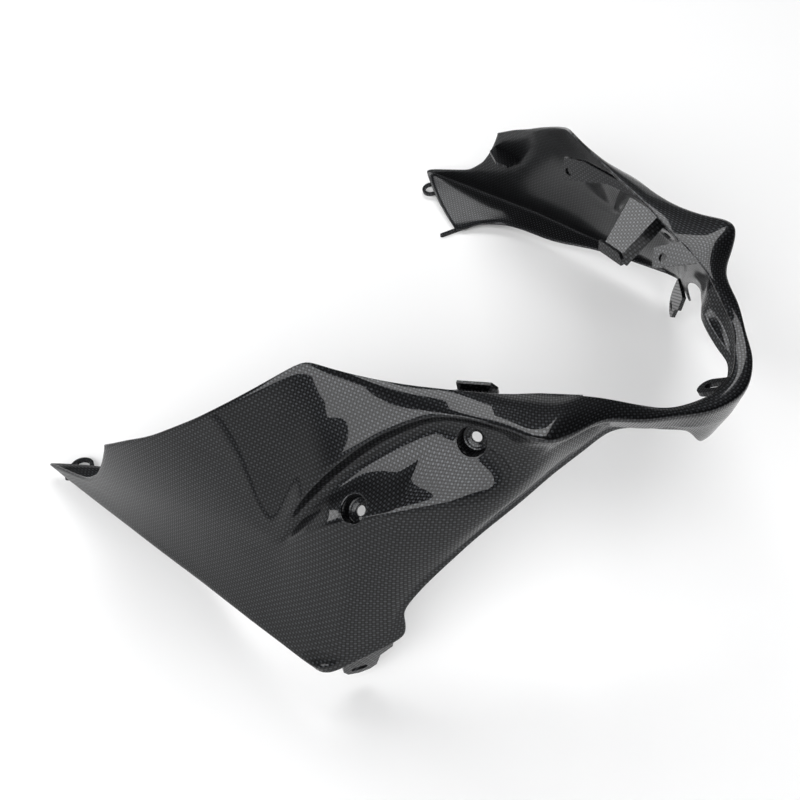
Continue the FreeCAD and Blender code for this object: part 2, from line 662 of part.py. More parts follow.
def lug(side):
    """Upright lug behind the lower front corner, with a slot near its free lower end."""
    body = new_body("lug", side)
    sketch = sketch_on(body, label("lug_outline", side))
    polygon(sketch, [
        (-16, share(1, "lug_drop", 4)), (share(1, "lug_root", -16), share(1, "lug_drop", 12)),
        (share(1, "lug_root", -18), share(1, "lug_drop", -6)), (7, share(0.5, "lug_drop", 2)), (4, 5),
        (-1, 1), (-9, 0), (-17, 3), (-20, 9), (-20, share(0.5, "lug_drop", 4)),
    ])
    strip(sketch, -12, 8, share(1, "lug_slot_run"), share(1, "lug_slot"))
    pad(body, sketch, label("lug_pad", side), "lug_plate")
    shift = size("wall") - size("bond") + size("lug_plate") / 2
    outward = Vector(0.85, 0.527, 0)
    origin = level((318.7, 221.8, 4)) - outward * shift
    body.Placement = frame(origin, Vector(0.527, -0.85, 0), Vector(0, 0, 1), side)
    return body


def nose_tab():
    """Tab with a rounded end and a slot, hanging down and back from the band at the nose."""
    body = doc.addObject("PartDesign::Body", "blank_nose_tab")
    body.Label = "blank_nose_tab"
    sketch = sketch_on(body, "nose_outline")
    strip(sketch, 0, 0, share(1, "nose_length"), share(1, "nose_width"), False)
    strip(sketch, 0, 0, share(1, "nose_slot_run"), share(1, "nose_slot"))
    pad(body, sketch, "nose_pad", "nose_plate")
    back = Vector(-0.72, 0, -0.69)
    root = level((426, 0, 192)) - Vector(0, 0, size("wall") - size("bond"))
    body.Placement = frame(root + back * size("nose_length"), -back, Vector(0, 1, 0), 1)
    return body


def piercing(face, x, z, side):
    """Point where a sideways line at x and z goes through a face."""
    line = Part.makeLine(Vector(x, side * 40, z), Vector(x, side * 300, z))
    return face.distToShape(line)[1][0][0]


def outer_patch(face, point):
    """The part of the outer face round a point, wide enough for a bolt cup."""
    around_u, around_v = 7, 10
    u, v = face.Surface.parameter(point)
    u0, u1, v0, v1 = face.Surface.bounds()
    patch = face.Surface.copy()
    patch.segment(max(u - around_u, u0), min(u + around_u, u1), max(v - around_v, v0), min(v + around_v, v1))
    return patch.toShape()


# Bolt cups: forward position and height of each mouth's middle, and the outward direction of its axis.
CUPS = [((324.0, 181.0), (0.16, 0.845, 0.51)), ((280.6, 138.4), (-0.16, 0.575, 0.80))]


def with_cups(solid):
    """The laminate with its bolt cups sunk into the recess of both panels."""
    face = max(solid.Faces, key=lambda f: f.Area)
    for side in (1, -1):
        for (x, height), axis in CUPS:
            mouth = piercing(face, x - MIDDLE, height + LIFT, side)
            outward = unit(Vector(axis[0], side * axis[1], axis[2]))
            inward = outward * -1
            radius = size("cup_bore") / 2
            start, reach = mouth + outward * 15, size("cup_depth") + 15
            boss = Part.makeCylinder(radius + size("cup_wall"), reach + size("cup_wall"), start, inward)
            boss = boss.cut(outer_patch(face, mouth).extrude(outward * 60))
            solid = solid.fuse(boss)
            solid = solid.cut(Part.makeCylinder(radius, reach, start, inward))
            solid = solid.cut(Part.makeCylinder(size("cup_hole") / 2, reach + 10, start, inward))
    return solid


shell = doc.addObject("Part::Feature", "fairing_shell")
shell.Label = "fairing_shell"
shell.Shape = with_cups(laminate())
shell.Placement = Placement()

blanks = [nose_tab()]
for side in (1, -1):
    blanks += [eyelet(side), peg(side), gusset(side), hanger(side), stay(side), front_plate(side), lug(side)]
doc.recompute()

nodes = [shell]
for blank in blanks:
    trimmed = doc.addObject("Part::Cut", blank.Label.replace("blank_", "cut_"))
    trimmed.Base = blank
    trimmed.Tool = shell
    trimmed.Label = blank.Label.replace("blank_", "")
    nodes.append(trimmed)
doc.recompute()

for thing in doc.Objects:
    for state in ("Invalid", "Error"):
        if state in thing.State:
            raise RuntimeError("%s is %s" % (thing.Label, state))
for node in nodes:
    if node.Shape.isNull() or not node.Shape.isValid() or node.Shape.Volume <= 0:
        raise RuntimeError("%s has no valid shape" % node.Label)
    if len(node.Shape.Solids) != 1:
        raise RuntimeError("%s is %d solids" % (node.Label, len(node.Shape.Solids)))

os.makedirs("parts", exist_ok=True)
for node in nodes:
    node.Shape.exportStep("parts/%s.step" % node.Label)
    box = node.Shape.BoundBox
    print("%-20s volume %9.1f  x %.1f..%.1f  y %.1f..%.1f  z %.1f..%.1f" % (
        node.Label, node.Shape.Volume, box.XMin, box.XMax, box.YMin, box.YMax, box.ZMin, box.ZMax))
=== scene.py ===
"""Looks of a motorcycle lower fairing: one carbon-fibre laminate and the plates bonded behind it.

The laminate's outer face is the same smooth surface as in the solid: a net of control points, whose
columns run down the wall at stations from the rear tips to the nose, under a clamped even cubic
B-spline. Here it is computed much finer, and carries the cloth as a UV map in metres.
"""
import math

import bpy
import numpy as np
from bpy.props import FloatProperty, PointerProperty, StringProperty
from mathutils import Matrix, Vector


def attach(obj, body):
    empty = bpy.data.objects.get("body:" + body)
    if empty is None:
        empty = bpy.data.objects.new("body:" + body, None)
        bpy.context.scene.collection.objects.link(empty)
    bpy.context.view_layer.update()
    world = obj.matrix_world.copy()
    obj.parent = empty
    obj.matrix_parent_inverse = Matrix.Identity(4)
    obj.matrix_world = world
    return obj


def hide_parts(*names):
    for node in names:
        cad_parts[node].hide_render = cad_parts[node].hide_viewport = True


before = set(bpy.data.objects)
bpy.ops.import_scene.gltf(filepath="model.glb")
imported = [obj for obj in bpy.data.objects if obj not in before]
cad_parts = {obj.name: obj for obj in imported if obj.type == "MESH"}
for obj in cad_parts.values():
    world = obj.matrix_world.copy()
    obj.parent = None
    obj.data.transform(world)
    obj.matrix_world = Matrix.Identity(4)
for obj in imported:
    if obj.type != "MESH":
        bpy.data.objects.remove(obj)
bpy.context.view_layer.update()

bl_info = {
    "name": "Lower fairing in carbon fibre",
    "version": (1, 0, 0),
    "blender": (4, 5, 0),
    "location": "View3D > Sidebar > Fairing",
    "description": "Builds the laminate, its bolt cups and the bonded plates of a lower fairing",
    "category": "Object",
}

MM = 0.001

# The outline's tables are in millimetres: (station, (forward position, half width, height)). NOSE
# is the station of the mirror plane at the nose, MIDDLE the forward position of the frame's origin,
# and LIFT the height of the tables' zero above that origin.
NOSE = 455.0
LIFT = 8.0
MIDDLE = 216.9

# Top edge: rises from the rear to the shoulder of the side panel, then runs level to the nose.
TOP = [
    (0, (0, 256, 46)), (45, (45, 252, 76)), (90, (90.8, 243.9, 98.1)), (111, (111.1, 237.2, 113.2)),
    (132, (132.1, 228.7, 127.8)), (150, (149.8, 218.4, 142.5)), (166, (165.4, 207.5, 155.5)),
    (180, (179, 195.7, 167.7)), (192, (191.1, 183.3, 178.8)), (204, (202.2, 170.6, 189)),
    (213, (212.8, 156.2, 198)), (222, (222, 152, 197.6)), (241, (241.5, 143.8, 196.4)),
    (270, (270, 130.6, 196.2)), (298, (297.8, 116.8, 198.5)), (324, (323.6, 101.2, 199.8)),
    (348, (347.8, 84.7, 202.8)), (373, (372.8, 69.6, 203.8)), (392, (392.7, 55.1, 198.7)),
    (405, (403.4, 46.2, 195.7)), (430, (417.7, 24, 193.5)), (455, (424.5, 0, 194)),
]
# Crest: outer border of the up-facing top strip, out to the raised shoulder and along the band.
CREST = [
    (213, (213.5, 158.2, 195.6)), (222, (222.6, 156, 195.4)), (241, (242.5, 149.5, 194.8)),
    (270, (272, 142, 195.3)), (298, (301, 133, 195.8)), (318, (324, 124.5, 200.3)),
    (334, (342.5, 121, 205)), (347, (357, 121.5, 208.7)), (357, (366.5, 118.5, 210.5)),
    (363, (371.3, 111, 207)), (369, (374.5, 101, 203.3)), (376, (378, 88.5, 202)),
    (385, (384, 76, 201.5)), (396, (398, 64, 199.3)), (412, (414.5, 43.5, 196.7)),
    (433, (428.5, 25, 195.5)), (455, (435.5, 0, 195)),
]
# Upper rim of the recess, from its rear tip up to the crest and then just below the crest.
RIM = [
    (208, (218.5, 223.5, 93.8)), (222, (236.9, 218.7, 97.5)), (229, (239.8, 212.2, 111)),
    (237, (246, 202, 129)), (246, (254, 190, 146.3)), (258, (265.5, 173.6, 164.4)),
    (268, (275.2, 161, 176)), (279, (286.5, 149, 184.5)), (290, (297, 138.5, 190)),
    (300, (307, 132, 193)), (312, (319, 127.2, 196)), (324, (332, 124.6, 199)),
    (338, (347.3, 122.8, 202.5)), (350, (360.5, 122.4, 205)), (359, (369, 117.5, 205)),
    (367, (374, 105.5, 200)), (376, (378.4, 88.6, 198)), (385, (384.5, 76.2, 197)),
    (396, (398.5, 64.2, 195)), (412, (415, 43.8, 192.5)), (433, (429.2, 25.3, 191)),
    (455, (436.2, 0, 190.5)),
]
# Lower ridge of the recess, then the lower border of the band's outer face.
RIDGE = [
    (208, (220, 227.4, 81.5)), (222, (239.7, 222, 88.2)), (239, (254.8, 213.6, 110.6)),
    (256, (270, 205.5, 126.3)), (273, (284, 196.5, 136.5)), (288, (296.8, 187.7, 144.5)),
    (300, (309, 178.5, 151.2)), (310, (319.5, 167, 153.5)), (320, (330, 156, 156.3)),
    (337, (349.4, 132.6, 162.3)), (347, (357.5, 122.5, 172)), (356, (364.7, 112.2, 187)),
    (366, (367.5, 101.5, 188.5)), (376, (371.8, 83, 186.5)), (385, (379, 70.5, 184)),
    (396, (397, 58, 182)), (412, (413.5, 41, 181.5)), (433, (427.5, 23.6, 176)),
    (455, (434, 0, 170)),
]
# Fold: straight lower crease of the panel, then a line just above the front lower edge.
FOLD = [
    (0, (-3, 254.5, 1.5)), (15, (16, 254.7, 3)), (60, (64.5, 255.5, 7.5)),
    (90, (95.9, 256.3, 11.5)), (120, (127.5, 257, 15.6)), (190, (204, 255.3, 20.8)),
    (236, (262, 254, 24.8)), (254, (284, 253.2, 27)), (263, (295, 252.2, 29.3)),
    (269, (302.5, 248.5, 32.5)), (277, (311, 234.5, 39)), (285, (319.8, 221, 45)),
    (290, (324.8, 212.5, 50.5)), (294, (325.2, 206, 60)), (299, (324.6, 198, 73.5)),
    (306, (328.8, 184.8, 90)), (318, (338.7, 164.5, 109.5)), (330, (347.4, 145.5, 127)),
    (344, (358.8, 121, 146)), (357, (366, 101.5, 158)), (370, (374.3, 80.5, 169)),
    (384, (382, 62, 176.5)), (396, (396, 50.5, 176.5)), (408, (406, 43, 176.5)),
    (421, (416.5, 36, 176.5)), (432, (422, 27.5, 171)), (443, (426, 15.2, 153)),
    (455, (428, 0, 141)),
]
# Free lower edge: inner edge of the flange, the lower front corner, the front edge and the chin.
EDGE = [
    (0, (25, 199, -6.5)), (57, (75.6, 202.8, -6)), (70, (82.5, 208, -5)), (84, (90, 218.5, -1.5)),
    (105, (111, 231, 2)), (130, (133.5, 234.5, 6)), (158, (168.3, 237, 8.5)),
    (205, (220, 246, 16.4)), (245, (272, 249.5, 22.5)), (257, (291, 251.5, 24)),
    (264, (299, 251.5, 25)), (269, (305, 248.5, 27.3)), (277, (315.5, 232.5, 35)),
    (285, (327.5, 214, 43.5)), (290, (333.5, 204, 49)), (294, (331, 200, 58)),
    (299, (327, 197.5, 70)), (306, (331.5, 185.4, 85.3)), (318, (339.9, 166, 104.6)),
    (330, (348.3, 146.9, 122)), (344, (359.8, 122.4, 140.9)), (357, (366.9, 102.5, 153.4)),
    (370, (375, 82, 164)), (384, (383.3, 60.7, 172.2)), (396, (395.5, 49, 172.5)),
    (408, (405.5, 42, 172.2)), (421, (415.4, 34.7, 172.2)), (432, (420.2, 26.8, 166)),
    (443, (424, 15, 148)), (455, (426, 0, 136)),
]
# Against the station: depth of the recess below its rim, bulge of the wall below the ridge, the
# shallow groove above the lower front corner, and the distance of the rows beside the fold from it.
SINK = [(0, 0), (222, 0), (232, 6), (246, 10), (262, 12), (310, 12), (335, 9), (352, 4), (364, 0),
        (455, 0)]
BULGE = [(0, 0), (280, 0), (300, 3), (325, 4), (345, 3), (370, 1), (455, 0)]
GROOVE = [(0, 0), (255, 0), (268, 2.5), (284, 2.5), (294, 0), (455, 0)]
FOLD_SIZE = [(0, 13), (120, 11), (230, 8), (270, 5), (455, 4)]
# Share by which the top strip and the wall below the ridge leave the smooth side panel.
STRIP_LEAVES = [(0, 0), (213, 0), (240, 0.5), (282, 0.6), (298, 1), (455, 1)]
WALL_LEAVES = [(0, 0), (262, 0), (292, 1), (455, 1)]

# The station at which each of the 16 rows starts at the rear: this cuts the notch and the finger.
START = [90.5, 90, 82.5, 71, 67, 61, 54, 48, 38, 18, 4, 1, 0, 6, 24, 57]
# How far down from top edge to fold each row lies behind the recess, at the rear and at its tip.
DEPTH = [0, 0.03, 0.22, 0.42, 0.47, 0.54, 0.62, 0.66, 0.70, 0.78, 0.88]
DEPTH_AT_TIP = [0, 0.015, 0.28, 0.578, 0.59, 0.605, 0.62, 0.63, 0.65, 0.75, 0.88]
# Behind JOIN a row is stretched back to its own start. TIP is the station of the recess's rear tip.
# From JOIN to OPEN the rows behind the recess give way to those beside it.
JOIN = 166.0
TIP = 222.0
OPEN = 228.0
# The ridge's direction is taken over so many stations to each side.
REACH = 3.0

# A row next to a border lies a set distance from it, but at most a set share of the way across.
GAP = {2: 5.0, 4: 4.0, 6: 4.5, 8: 5.0}
MOST = {2: 0.5, 4: 0.3, 6: 0.2, 8: 0.2, 11: 0.18, 13: 0.33, 14: 0.33}
# Share of the recess's depth at each of its rows, and share of the ridge's stand over the smooth
# panel that each row below the ridge keeps.
HOLLOW = {4: 0.75, 5: 1.0, 6: 0.25}
PROUD = {8: 0.75, 9: 0.35, 10: 0.06, 11: 0.0}

# Stations of the columns: from each corner of the outline, so many evenly spaced to the next one.
CORNERS = [(0, 18), (166, 6), (213, 9), (269, 4), (290, 3), (299, 9), (357, 6), (384, 6), (421, 3),
           (443, 2), (455, 0)]
# Spans of the net with a finer mesh, for the recess: of the columns on each side, and of the rows.
FINE_COLUMNS = [(25, 47), (83, 105)]
FINE_ROWS = [(2, 6)]

# Parameters down the wall: where the cloth follows the wall's own level direction, and the two
# stretches whose mean direction the band's top strip and the flange take over.
OWN_ROWS = (2.6, 10.4)
BAND_ROWS = (3, 6)
FOOT_ROWS = (8, 10.4)
# Forward position against the share of the band's direction in the top strip.
STRIP_TURNS = [(0, 0), (300, 0), (350, 1), (500, 1)]

# Bolt cups: forward position and height of the mouth's middle, and its axis's outward direction.
CUPS = [((324.0, 181.0), (0.16, 0.845, 0.51)), ((280.6, 138.4), (-0.16, 0.575, 0.80))]
# Radius of the rounding of a cup's mouth, and the half width beyond which a side panel lies.
LIP = 1.3
PANEL_FROM = 60


def tangents(at, points):
    """Slopes at a table's points, weighted by the neighbouring spans and level at the nose."""
    spans = np.diff(at)[:, None]
    steps = np.diff(points, axis=0) / spans
    before, after = spans[:-1], spans[1:]
    inner = (after * steps[:-1] + before * steps[1:]) / (before + after)
    last = steps[-1] * [0, 1, 0] if at[-1] == NOSE else steps[-1]
    return np.vstack([steps[:1], inner, last[None]])


def curve(table, s):
    """Points at stations s: cubic Hermite arcs through the table's points, with those slopes."""
    at = np.array([station for station, _ in table], float)
    points = np.array([point for _, point in table], float)
    slopes = tangents(at, points)
    i = np.clip(np.searchsorted(at, s) - 1, 0, len(at) - 2)
    h = (at[i + 1] - at[i])[:, None]
    t = (s - at[i])[:, None] / h
    ends = (2 * t ** 3 - 3 * t ** 2 + 1) * points[i] + (3 * t ** 2 - 2 * t ** 3) * points[i + 1]
    return ends + h * ((t ** 3 - 2 * t ** 2 + t) * slopes[i] + (t ** 3 - t ** 2) * slopes[i + 1])


def ramp(table, s):
    """Values at stations s, eased from one point of the table to the next by 3 t^2 - 2 t^3."""
    at, value = np.array(table, float).T
    i = np.clip(np.searchsorted(at, s) - 1, 0, len(at) - 2)
    t = np.clip((s - at[i]) / (at[i + 1] - at[i]), 0, 1)
    return value[i] + (value[i + 1] - value[i]) * t * t * (3 - 2 * t)


def panel_half(x, z):
    """Half width of the smooth side panel: a cubic in forward position and height."""
    x, z = x / 100, z / 100
    return (256 + 4 * x - 11.5 * z + 1.13 * x * x - 27.46 * x * z + 33.9 * z * z
            - 1.67 * x * x * z + 7.44 * x * z * z - 19.8 * z ** 3)


def on_panel(points, hug):
    """Points with their half width drawn by the share hug towards the smooth panel."""
    drawn = points.copy()
    drawn[:, 1] += hug * (panel_half(points[:, 0], points[:, 2]) - points[:, 1])
    return drawn


def mix(a, b, share):
    """Straight blend from a to b, the share being a number or one value per row."""
    share = np.asarray(share, float)
    return a + (b - a) * (share[:, None] if share.ndim else share)


def mix3(a, b, share):
    """Straight blend of two grids of vectors, with one share per point."""
    return a + (b - a) * share[..., None]


def rear_row(s, row):
    """Row behind the recess: a set share of the way from top edge to fold, laid on the panel."""
    k = np.minimum(s / TIP, 1.0) ** 2
    depth = DEPTH[row] + (DEPTH_AT_TIP[row] - DEPTH[row]) * k
    return on_panel(mix(curve(TOP, s), curve(FOLD, s), depth), 1.0)


def led_in(table, row, rear):
    """A curve's table with its rear part taken from a row of the smooth panel."""
    rear = np.array(rear, float)
    return [(s, tuple(p)) for s, p in zip(rear, rear_row(rear, row))] + table


REAR = [0, 45, 90, 130, 166, 190]
CREST_LINE = led_in(CREST, 1, REAR + [204])
RIM_LINE = led_in(RIM, 3, REAR)
RIDGE_LINE = led_in(RIDGE, 7, REAR)
BORDERS = {0: TOP, 1: CREST_LINE, 3: RIM_LINE, 7: RIDGE_LINE, 12: FOLD, 15: EDGE}


def length(v):
    """Lengths of the vectors along the last axis."""
    return np.sqrt((v ** 2).sum(-1))


def outward(ahead, behind, upper, lower):
    """Unit vectors square to the wall: the cross product of its two directions."""
    n = np.cross(ahead - behind, lower - upper)
    n /= length(n)[:, None]
    return n * np.where(n[:, :1] + n[:, 1:2] > 0, 1, -1)


def beside(row, span, s):
    """Share of the span at which a row next to a border lies from it."""
    gap = GAP[row] if row in GAP else ramp(FOLD_SIZE, s)
    return np.minimum(MOST[row], gap / span)


def open_row(s, row):
    """Row beside the recess, along the band or on the flange, between the border curves."""
    rim, ridge, fold = curve(RIM_LINE, s), curve(RIDGE_LINE, s), curve(FOLD, s)
    if row == 2:
        crest = curve(CREST_LINE, s)
        place = 1 - beside(row, np.maximum(length(crest - rim), 1), s)
        return on_panel(mix(crest, rim, place), 1 - ramp(STRIP_LEAVES, s))
    if row > 12:
        edge = curve(EDGE, s)
        near = beside(row, length(fold - edge), s)
        return mix(fold, edge, near if row == 13 else (1 + near) / 2)
    ahead, behind = np.minimum(s + REACH, NOSE), s - REACH
    n = outward(curve(RIDGE_LINE, ahead), curve(RIDGE_LINE, behind), rim, fold)
    if row < 7:
        span = length(rim - ridge)
        place = {4: beside(4, span, s), 5: 0.5, 6: 1 - beside(6, span, s)}[row]
        return mix(rim, ridge, place) - n * (HOLLOW[row] * ramp(SINK, s))[:, None]
    span = length(ridge - fold)
    place = {8: beside(8, span, s), 9: 0.36, 10: 0.7, 11: 1 - beside(11, span, s)}[row]
    flat = mix(ridge, fold, place)
    hugged = on_panel(flat, 1.0)
    hugged[:, 1] += (ridge[:, 1] - panel_half(ridge[:, 0], ridge[:, 2])) * PROUD[row]
    swell = ramp(BULGE, s) * 4 * place * (1 - place)
    groove = ramp(GROOVE, s) if row == 11 else 0.0
    return mix(flat, hugged, 1 - ramp(WALL_LEAVES, s)) + n * (swell - groove)[:, None]


def net_row(stations, row):
    """One row of control points: 0 is the top edge and 15 the lower free edge."""
    s = np.where(stations < JOIN, START[row] + (JOIN - START[row]) * stations / JOIN, stations)
    if row in BORDERS:
        return curve(BORDERS[row], s)
    if row > 10:
        return open_row(s, row)
    settled = ramp([(0, 0), (JOIN, 0), (OPEN, 1), (NOSE, 1)], s)
    return mix(rear_row(s, row), open_row(s, row), settled)


def control_net():
    """Control points of the outer face, columns by rows, from left rear round to right rear."""
    runs = [np.linspace(a, b, count, endpoint=False)
            for (a, count), (b, _) in zip(CORNERS, CORNERS[1:])]
    stations = np.concatenate(runs + [[NOSE]])
    half = np.stack([net_row(stations, row) for row in range(len(START))], axis=1)
    half += [-MIDDLE, 0, LIFT]
    return np.concatenate([half, half[-2::-1] * [1, -1, 1]])


def inner_net(net, wall, spread=4.0):
    """The net moved inwards by the wall, square to directions taken over a spread down a column."""
    steps = length(np.diff(net, axis=1))
    run = np.concatenate([np.zeros((len(net), 1)), np.cumsum(steps, axis=1)], axis=1)
    down = np.empty_like(net)
    for i, column in enumerate(net):
        for k in range(3):
            ahead = np.interp(run[i] + spread, run[i], column[:, k])
            down[i, :, k] = ahead - np.interp(run[i] - spread, run[i], column[:, k])
    ahead = np.concatenate([net[1:], net[-1:]])
    behind = np.concatenate([net[:1], net[:-1]])
    inward = np.cross(down, ahead - behind)
    return net + wall * inward / length(inward)[..., None]


def weights(count, t):
    """How much each control point counts at parameters t: the clamped even cubic B-spline basis."""
    knots = np.concatenate([[0] * 3, np.arange(count - 2), [count - 3] * 3]).astype(float)
    t = np.minimum(t, count - 3 - 1e-9)[:, None]
    basis = ((knots[:-1] <= t) & (t < knots[1:])).astype(float)
    for degree in (1, 2, 3):
        rise, fall = knots[degree:-1] - knots[:-degree - 1], knots[degree + 1:] - knots[1:-degree]
        low, high = np.zeros((len(t), len(rise))), np.zeros((len(t), len(fall)))
        np.divide(t - knots[:-degree - 1], rise, out=low, where=rise > 0)
        np.divide(knots[degree + 1:] - t, fall, out=high, where=fall > 0)
        basis = low * basis[:, :-1] + high * basis[:, 1:]
    return basis


def samples(spans, dense, fine, coarse):
    """Parameters over the spans: so many to a span, and more of them inside the dense ranges."""
    parts = []
    for k in range(spans):
        count = fine if any(a <= k < b for a, b in dense) else coarse
        parts.append(k + np.arange(count) / count)
    return np.concatenate(parts + [[float(spans)]])


def spread_out(net, u, v):
    """Points of the smooth surface on the grid of parameters u and v."""
    return np.einsum("ia,abk,jb->ijk", weights(net.shape[0], u), net, weights(net.shape[1], v))


def grid_normals(grid):
    """Unit normals of a grid: the cross product of its two differences."""
    n = np.cross(np.gradient(grid, axis=0), np.gradient(grid, axis=1))
    return n / (length(n)[..., None] + 1e-12)


def settle(grid, way, rounds=900):
    """Field over the grid whose step along each edge is the edge's length along a given direction.

    No field does that exactly on a curved surface, so this is the one of least squares, with each
    edge weighted by the width of surface that it stands for. Conjugate gradients find it.
    """
    edges = np.diff(grid, axis=0), np.diff(grid, axis=1)
    steps = (((way[1:] + way[:-1]) / 2 * edges[0]).sum(-1),
             ((way[:, 1:] + way[:, :-1]) / 2 * edges[1]).sum(-1))
    # Lengths of the edges of both kinds, and the width of surface beside each point and each edge.
    long, wide = (np.maximum(length(edge), 1e-3) for edge in edges)
    tall = np.pad(wide, ((0, 0), (1, 1)), mode="edge")
    broad = np.pad(long, ((1, 1), (0, 0)), mode="edge")
    tall, broad = (tall[:, 1:] + tall[:, :-1]) / 2, (broad[1:] + broad[:-1]) / 2
    weights_along = (tall[1:] + tall[:-1]) / 2 / long, (broad[:, 1:] + broad[:, :-1]) / 2 / wide

    def gather(first, second):
        """Sums at each point of the weighted steps that arrive less those that leave."""
        total = np.zeros(grid.shape[:2])
        first, second = first * weights_along[0], second * weights_along[1]
        total[1:] += first
        total[:-1] -= first
        total[:, 1:] += second
        total[:, :-1] -= second
        return total

    scale = np.zeros(grid.shape[:2])
    scale[1:] += weights_along[0]
    scale[:-1] += weights_along[0]
    scale[:, 1:] += weights_along[1]
    scale[:, :-1] += weights_along[1]
    # The first guess sums the steps along the middle row, and from there up and down each column.
    row = grid.shape[1] // 2
    run = np.concatenate([np.zeros((len(grid), 1)), np.cumsum(steps[1], axis=1)], axis=1)
    spine = np.concatenate([[0.0], np.cumsum(steps[0][:, row])])
    field = spine[:, None] + run - run[:, row:row + 1]
    rest = gather(*steps) - gather(np.diff(field, axis=0), np.diff(field, axis=1))
    ease = rest / scale
    search, power = ease, (rest * ease).sum()
    for _ in range(rounds):
        pull = gather(np.diff(search, axis=0), np.diff(search, axis=1))
        part = power / (search * pull).sum()
        field, rest = field + part * search, rest - part * pull
        ease = rest / scale
        last, power = power, (rest * ease).sum()
        search = ease + power / last * search
    return field


def between(v, rows):
    """Which parameters lie in a range of rows."""
    return (v >= rows[0]) & (v <= rows[1])


def lay_cloth(grid, v, rounds=12):
    """Cloth coordinates in millimetres, which follow the warp's and the weft's directions.

    The warp runs level round the fairing. Its direction is the level tangent of the wall, taken
    from the smooth panel or the band for the top strip and from the wall above for the flange, and
    smoothed in rounds.
    """
    n = grid_normals(grid)
    level = np.stack([n[..., 1], -n[..., 0], np.zeros(n.shape[:2])], axis=-1)
    band, foot = (level[:, between(v, rows)].mean(1) for rows in (BAND_ROWS, FOOT_ROWS))
    x, y, z = np.moveaxis(grid, -1, 0)
    side = np.where(y < 0, -1, 1)
    x, z = x + MIDDLE, z - LIFT
    bend = (panel_half(x + 1, z) - panel_half(x - 1, z)) / 2
    panel = np.stack([side, bend, np.zeros_like(bend)], axis=-1) / np.sqrt(1 + bend ** 2)[..., None]
    upper = mix3(panel, band[:, None], ramp(STRIP_TURNS, x))
    borrowed = np.where((v < OWN_ROWS[0])[None, :, None], upper, foot[:, None])
    level = np.where(between(v, OWN_ROWS)[None, :, None], level, borrowed)
    for _ in range(rounds):
        level[:, 1:-1] = (level[:, :-2] + level[:, 1:-1] + level[:, 2:]) / 3
        level[1:-1] = (level[:-2] + level[1:-1] + level[2:]) / 3
    warp = level - n * (level * n).sum(-1, keepdims=True)
    warp /= length(warp)[..., None]
    weft = np.cross(n, warp)
    return np.stack([settle(grid, warp), settle(grid, weft)], axis=-1)


def quads(index):
    """Faces of a grid of vertex numbers, pointing out of the fairing's outer face."""
    corners = [index[:-1, :-1], index[1:, :-1], index[1:, 1:], index[:-1, 1:]]
    return np.stack(corners, axis=-1).reshape(-1, 4)


def numbered(shape, start):
    """Vertex numbers of a grid of a given shape, counted from start on."""
    return start + np.arange(shape[0] * shape[1]).reshape(shape[:2])


def closed(rings):
    """Faces between rings of vertices that close on themselves."""
    return quads(np.concatenate([rings, rings[:, :1]], axis=1))


def across_axis(axis):
    """Two unit vectors square to an axis and to each other, the first one level."""
    first = np.array([-axis[1], axis[0], 0.0]) / math.hypot(axis[0], axis[1])
    return first, np.cross(axis, first)


def open_hole(points, normals, faces, centre, axis, radius):
    """Cuts a round hole about an axis, and returns the faces left and the hole's rim.

    Faces wholly inside the circle go, and every other vertex inside moves out to the circle, along
    the surface's own plane there.
    """
    from_centre = points - centre
    off = from_centre - (from_centre @ axis)[:, None] * axis
    far = length(off)
    inside = (far < radius) & (length(from_centre) < 3 * radius)
    gone = inside[faces].all(axis=1)
    kept = faces[~gone]
    rim = np.unique(kept[inside[kept]])
    move = off[rim] * (radius / far[rim] - 1)[:, None]
    n = normals[rim]
    points[rim] += move - axis * ((n * move).sum(-1) / (n @ axis))[:, None]
    first, second = across_axis(axis)
    angle = np.arctan2((points[rim] - centre) @ second, (points[rim] - centre) @ first)
    return kept, rim[np.argsort(angle)]


def cup_profile(bore, hole, plate, depth=9.0, corner=1.6, chamfer=0.3, tuck=1.0):
    """Rows of the cup as (radius, height over the mouth, whether the rim's own height is added).

    Rounded lip, bore, rounded corner, floor, chamfered screw hole, back of the floor and outside,
    which ends tucked into the wall.
    """
    turn = np.linspace(0, math.pi / 2, 6)[1:]
    rows = [(bore + LIP * (1 - math.sin(a)), -LIP * (1 - math.cos(a)), True) for a in turn]
    rows += [(bore, corner - depth, False)]
    rows += [(bore - corner * (1 - math.cos(a)), corner * (1 - math.sin(a)) - depth, False)
             for a in turn]
    rows += [(hole + chamfer, -depth, False), (hole, -depth - chamfer, False),
             (hole, -depth - plate, False), (bore, -depth - plate, False)]
    rows += [(bore + plate * math.sin(a), -depth - plate * math.cos(a), False) for a in turn]
    rows += [(bore + plate, -tuck, True)]
    return rows


def cup_rows(rim, centre, axis, rows):
    """Rings of the cup: each rim point's angle, at the row's radius and height."""
    first, second = across_axis(axis)
    from_centre = rim - centre
    angle = np.arctan2(from_centre @ second, from_centre @ first)
    spoke = np.cos(angle)[:, None] * first + np.sin(angle)[:, None] * second
    own = from_centre @ axis
    rings = [centre + radius * spoke + axis * (height + own * follows)[:, None]
             for radius, height, follows in rows]
    return np.array(rings), angle


def loop_round(index):
    """Vertex numbers round the border of a grid, and of their neighbours one step in."""
    def round_trip(grid):
        return np.concatenate([grid[:, 0], grid[-1, 1:], grid[-2::-1, -1], grid[0, -2:0:-1]])

    return round_trip(index), round_trip(np.pad(index[1:-1, 1:-1], 1, mode="edge"))


